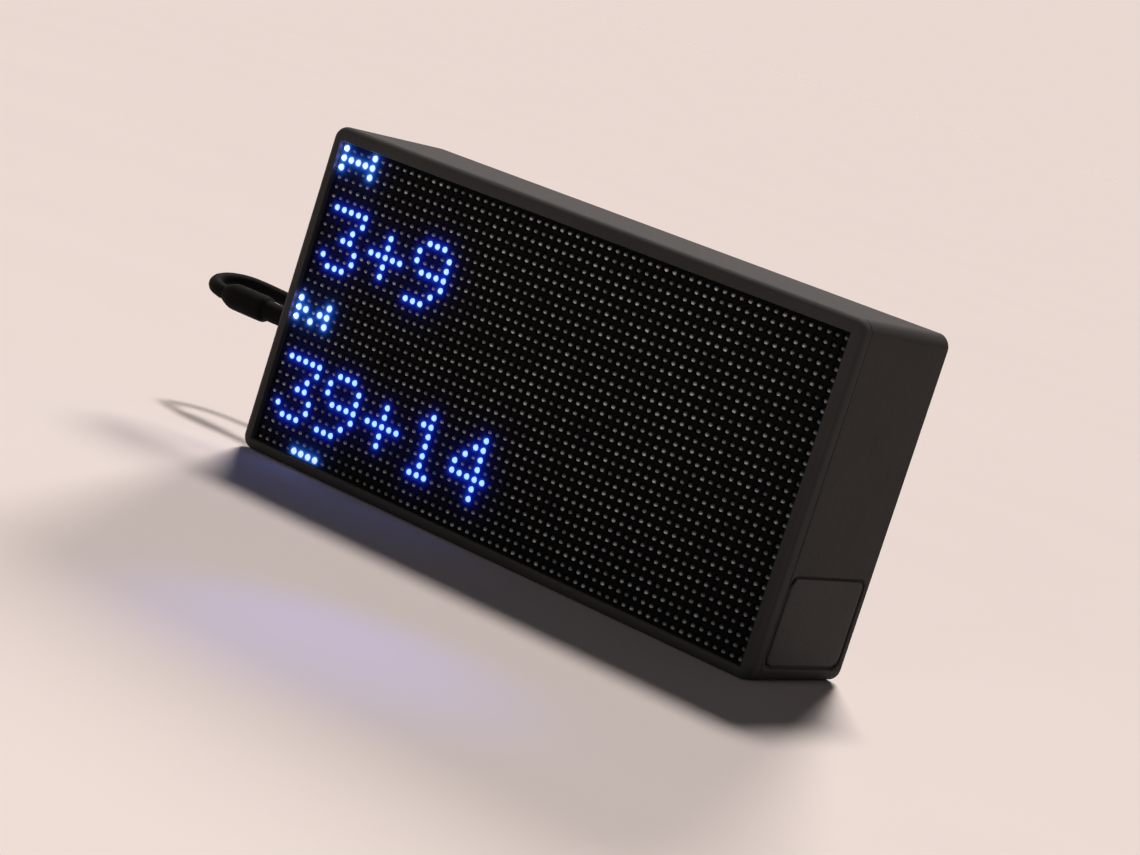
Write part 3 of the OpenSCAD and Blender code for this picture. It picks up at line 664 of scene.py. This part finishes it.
LEAD_D = 4 * MM
LEAD_ROUTE_MM = (
    (-83.5, 2, 31.5), (-100, 2, 31.5), (-112, 2, 31.5),
    (-122, 2, 31.5), (-124.2, 2, 31.5), (-127.2, 2.8, 31.8), (-129.8, 4.8, 32.3), (-131.5, 7.7, 32.9),
    (-131.9, 11, 33.4), (-131.1, 14.3, 33.7), (-129.1, 17.1, 33.8), (-126.2, 19.1, 33.6),
    (-122.4, 20.4, 33.3), (-114, 21.8, 32.7), (-105, 23.2, 31.4), (-97, 24.4, 29),
    (-89, 25.2, 25.2), (-81, 25.6, 20.4), (-73, 25.4, 15.2), (-65, 24.9, 10.2), (-57, 24.3, 6.2),
    (-50, 23.9, 3.7), (-44, 23.7, 2.6), (-38, 23.7, 2.9), (-34, 23.7, 2.9),
)
LEAD_SIDES = 12
LEAD_STEP = 2.2 * MM
COIL_MIDDLE = Vector((-30, 46.2, 2.9)) * MM
COIL_R = 22.5 * MM
COIL_STEP = 4.5 * MM
COIL_LAYERS = 4
COIL_TURNS = 1.625
COIL_POINTS = 24
# Half of the turn, in degrees, in which the coil climbs to its next layer
HALF_CLIMB = 90
TAIL_L = 46 * MM
TAIL_SHIFT = 6.3 * MM
TAIL_Z = 4.2 * MM
TAIL_STEPS = 10
TAIL_FIRST = 2


def ease(t):
    return (1 - math.cos(math.pi * max(0, min(1, t)))) / 2


def coil_points():
    """Layers that spiral in and out again, each with a half turn of climb, and the tail to the plug."""
    spiral = 360 * COIL_TURNS
    each = spiral + 2 * HALF_CLIMB
    whole = COIL_LAYERS * each - 2 * HALF_CLIMB
    points = []
    for i in range(int(whole * COIL_POINTS / 360) + 1):
        angle = i * 360 / COIL_POINTS
        layer = min(int(angle // each), COIL_LAYERS - 1)
        along = angle - layer * each
        across = along if along <= spiral else spiral + HALF_CLIMB - abs(along - spiral - HALF_CLIMB)
        inward = across if layer % 2 == 0 else spiral - across
        radius = COIL_R - COIL_STEP * inward / 360
        rise = COIL_STEP * (layer + max(0, min(1, (along - spiral) / (2 * HALF_CLIMB))))
        turn = math.radians(angle - 90)
        points.append(COIL_MIDDLE + Vector((radius * math.cos(turn), radius * math.sin(turn), rise)))
    end = points[-1]
    for i in range(1, TAIL_STEPS + 1):
        t = ease((i - TAIL_FIRST) / (TAIL_STEPS - 1 - TAIL_FIRST))
        points.append(end + Vector((TAIL_L * i / TAIL_STEPS, TAIL_SHIFT * t, (TAIL_Z - end.z) * t)))
    return points


def headings(points):
    """At each point, the direction from the point before it to the one after it."""
    last = len(points) - 1
    return [(points[min(k + 1, last)] - points[max(k - 1, 0)]).normalized() for k in range(last + 1)]


def smooth_line(points, step):
    """A curve through the points that follows their headings, cut in pieces of about a step."""
    line = []
    ways = headings(points)
    for i in range(len(points) - 1):
        a, b = points[i], points[i + 1]
        span = (b - a).length
        cuts = max(1, round(span / step))
        for k in range(cuts):
            t = k / cuts
            line.append(
                a * (2 * t**3 - 3 * t**2 + 1) + ways[i] * span * (t**3 - 2 * t**2 + t)
                + b * (3 * t**2 - 2 * t**3) + ways[i + 1] * span * (t**3 - t**2)
            )
    return line + [points[-1]]


def tube(name, line, radius, sides):
    """A round tube along a line, with its rings turned as little as possible from one to the next."""
    ways = headings(line)
    side = ways[0].orthogonal()
    rings = []
    for point, ahead in zip(line, ways):
        side = (side - ahead * side.dot(ahead)).normalized()
        rings.append(ring_about(point, side, ahead.cross(side), radius, sides))
    return closed_loft(name, rings)


# The relief's distance from the wall, and its radius there
RELIEF_MM = (
    (-3.85, 4.3), (-3.6, 4.5), (-1.9, 4.5), (-1.65, 4.3), (-1.65, 2.5), (0.05, 2.5), (0.05, 2.55),
    (0.25, 2.7), (22.2, 2.7), (22.6, 2.78), (23, 3), (23.4, 3.3), (23.8, 3.5), (24.4, 3.6),
    (34.6, 3.6), (35.6, 3.52), (36.5, 3.3), (37.4, 2.98), (38.1, 2.7), (38.4, 2.55), (38.5, 2.4),
)
RELIEF_STEPS = 32
# One groove in the grip's sides: distance along it, and half width
GRIP_GROOVE_MM = ((0, 7.75), (0.4, 7.4), (1, 7.4), (1.4, 7.75))
GRIP_GROOVES = 6
GROOVES_FROM_MM = 15
GROOVE_STEP_MM = 2
# Sections of the plug's grip: distance from the lead, half width, half height, and how square it is
GRIP_MM = (
    (0, 2.4, 2.4, 2), (0.3, 2.6, 2.6, 2), (2.1, 2.75, 2.75, 2), (2.4, 2.45, 2.45, 2), (3, 2.5, 2.5, 2),
    (3.3, 2.9, 2.9, 2), (4.3, 3, 3, 2), (4.6, 2.65, 2.65, 2), (5.2, 2.7, 2.7, 2), (5.5, 3.15, 3.15, 2),
    (6.8, 3.3, 3.3, 2), (7, 3.7, 3.3, 2.2), (7.2, 5.8, 3.4, 3), (7.6, 6.9, 3.75, 4), (8.4, 7.5, 4, 5),
    (10, 7.75, 4.1, 6),
    *(
        (GROOVES_FROM_MM + GROOVE_STEP_MM * i + x, half, 4.1, 6)
        for i in range(GRIP_GROOVES)
        for x, half in GRIP_GROOVE_MM
    ),
    (29, 7.8, 4.1, 6), (33.6, 7.8, 4.1, 6), (34.4, 7.68, 3.98, 6), (34.85, 7.4, 3.7, 6), (35, 7, 3.3, 6),
)
GRIP_POINTS = 48
CONTACTS_Y = [y * MM for y in (-3.5, -1, 1, 3.5)]
CONTACT_L = 9 * MM
CONTACT_W = 1.1 * MM
CONTACT_T = 0.1 * MM
CONTACT_INSET = 1 * MM


def bent(value, power):
    """A sine or cosine bent from a circle's, at a power of 2, towards a square's."""
    return math.copysign(abs(value) ** (2 / power), value)


def make_relief(place):
    profile = [(x * MM, r * MM) for x, r in RELIEF_MM]
    relief = lathe("lead_relief", profile, place, (-1, 0, 0), RELIEF_STEPS)
    return dress(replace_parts(relief, "strain_relief"), cord_rubber)


def make_grip():
    low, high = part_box("plug_grip")
    middle = (low + high) / 2
    angles = [TAU * k / GRIP_POINTS for k in range(GRIP_POINTS)]
    rings = []
    for x, half_y, half_z, power in GRIP_MM:
        outline = [(half_y * bent(math.cos(a), power), half_z * bent(math.sin(a), power)) for a in angles]
        rings.append([(low.x + x * MM, middle.y + y * MM, middle.z + z * MM) for y, z in outline])
    grip = closed_loft("plug_handle", rings)
    return dress(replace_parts(grip, "plug_grip"), cord_rubber)


def make_contacts():
    """Four flat springs on the plug's tongue, each a strip with a turned-down end."""
    low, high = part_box("plug_tongue")
    middle_y = (low.y + high.y) / 2
    start = high.x - CONTACT_L - CONTACT_INSET
    sections = ((0, 0), (CONTACT_L, 0), (CONTACT_L + CONTACT_T, -CONTACT_T))
    corners = ((-1, 0), (1, 0), (1, CONTACT_T), (-1, CONTACT_T))
    verts = []
    faces = []
    for y in CONTACTS_Y:
        first = len(verts)
        verts += [
            (start + x, middle_y + y + side * CONTACT_W / 2, high.z + drop + rise)
            for x, drop in sections
            for side, rise in corners
        ]
        faces += [tuple(first + v for v in face) for face in solid_faces(len(sections), len(corners))]
    contacts = add_piece("plug_contacts", verts, faces)
    return dress(contacts, gold_plate)


def make_lead():
    points = [Vector(p) * MM for p in LEAD_ROUTE_MM] + coil_points()
    line = smooth_line(points, LEAD_STEP)
    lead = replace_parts(tube("power_cord", line, LEAD_D / 2, LEAD_SIDES), "power_lead", "lead_coil")
    dress(lead, cord_rubber)
    make_relief(line[0])
    make_grip()
    make_contacts()


make_lead()


# Stage

FLOOR_COLOUR = (0.80, 0.69, 0.65)
FLOOR_HALF = 30
# Two lights from behind: where each comes from, its share of the floor's light, its width in degrees,
# and whether it shows in gloss
SUNS = (
    (Vector((-0.30, 0.45, 0.836)), 0.63, 9, True),
    (Vector((-0.425, 0.823, 0.377)), 0.37, 10, False),
)
SUN_COLOUR = (1, 0.98, 0.96)
ROOM_COLOUR = (0.9, 0.94, 1.05)
ROOM_LEVEL = 0.03
FLOOR_SHADE = 0.985
FLOOR_CLOUD = 1 / 9
# A broad light in front, the display's light on the floor, and what a lit dot throws on the rim
FILL_AT = (0.2, -1.3, 0.16)
FILL_AIM = (0, 0, 0.04)
FILL = {"energy": 3.5, "color": (1, 0.97, 0.95), "shape": "RECTANGLE", "size": 0.5, "size_y": 0.4}
SPILL_AT = (0.04, -0.12, 0.11)
SPILL_AIM = (0.064, -0.147, 0)
SPILL = {
    "energy": 0.14, "color": (0.06, 0.12, 1), "spot_size": math.radians(54), "spot_blend": 1,
    "shadow_soft_size": 10 * MM,
}
GLEAM = {"energy": 3e-4, "color": (0.16, 0.24, 1), "shadow_soft_size": 0.3 * MM}
GLEAM_STEP = 0.7 * MM


def make_stage():
    """A wide, matte, pale floor."""
    mesh = bpy.data.meshes.new("floor")
    corners = ((-1, -1), (1, -1), (1, 1), (-1, 1))
    mesh.from_pydata([(x * FLOOR_HALF, y * FLOOR_HALF, 0) for x, y in corners], [], [(0, 1, 2, 3)])
    floor = bpy.data.objects.new("floor", mesh)
    scene.collection.objects.link(floor)
    s = Shader("floor", Roughness=0.9, Specular_IOR_Level=0)
    darker = [c * FLOOR_SHADE for c in FLOOR_COLOUR]
    cloud = s.noise(size=FLOOR_CLOUD, detail=3)
    dress(floor, s.set(Base_Color=s.ramp(cloud, (0.3, darker), (0.7, FLOOR_COLOUR))))


def add_light(name, kind, place, aim, **settings):
    """A light at a place, aimed at a point."""
    light = bpy.data.lights.new(name, kind)
    for key, value in settings.items():
        setattr(light, key, value)
    obj = bpy.data.objects.new(name, light)
    obj.location = place
    obj.rotation_mode = "QUATERNION"
    obj.rotation_quaternion = (Vector(aim) - Vector(place)).to_track_quat("-Z", "Y")
    scene.collection.objects.link(obj)
    return obj


def make_room():
    """A dim, even room; what the eye sees of it, also in a reflection, is as pale as the floor."""
    world = bpy.data.worlds.new("world")
    scene.world = world
    world.use_nodes = True
    nodes, links = world.node_tree.nodes, world.node_tree.links
    room = nodes["Background"]
    room.inputs["Color"].default_value = (*ROOM_COLOUR, 1)
    room.inputs["Strength"].default_value = ROOM_LEVEL
    seen = nodes.new("ShaderNodeBackground")
    direct = sum(share for _, share, _, _ in SUNS)
    pale = [
        floor * (1 + FLOOR_SHADE) / 2 * (direct * sun + ROOM_LEVEL * ambient)
        for floor, sun, ambient in zip(FLOOR_COLOUR, SUN_COLOUR, ROOM_COLOUR)
    ]
    seen.inputs["Color"].default_value = (*pale, 1)
    path = nodes.new("ShaderNodeLightPath")
    shown = path.outputs["Is Camera Ray"]
    for kind in ("Is Glossy Ray", "Is Transmission Ray"):
        either = nodes.new("ShaderNodeMath")
        either.operation = "MAXIMUM"
        links.new(shown, either.inputs[0])
        links.new(path.outputs[kind], either.inputs[1])
        shown = either.outputs["Value"]
    mix = nodes.new("ShaderNodeMixShader")
    links.new(shown, mix.inputs["Fac"])
    links.new(room.outputs["Background"], mix.inputs[1])
    links.new(seen.outputs["Background"], mix.inputs[2])
    links.new(mix.outputs["Shader"], nodes["World Output"].inputs["Surface"])


def make_light():
    for towards, share, width, shines in SUNS:
        level = share * math.pi / towards.normalized().z
        key = add_light(
            "key", "SUN", towards, (0, 0, 0), energy=level, angle=math.radians(width), color=SUN_COLOUR,
        )
        key.visible_glossy = shines
    add_light("fill", "AREA", FILL_AT, FILL_AIM, **FILL)
    add_light("spill", "SPOT", SPILL_AT, SPILL_AIM, **SPILL)
    bezel_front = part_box("front_bezel")[0].y
    for column, row in sorted(unit_dots):
        x, z = dot_place(column, row)
        if column == 0:
            add_light("gleam", "POINT", (x - GLEAM_STEP, MASK_FRONT - GLEAM_STEP, z), (0, 0, 0), **GLEAM)
        if row == 0:
            add_light("gleam", "POINT", (x, bezel_front, z + GLEAM_STEP), (0, 0, 0), **GLEAM)


make_room()
make_stage()
make_light()
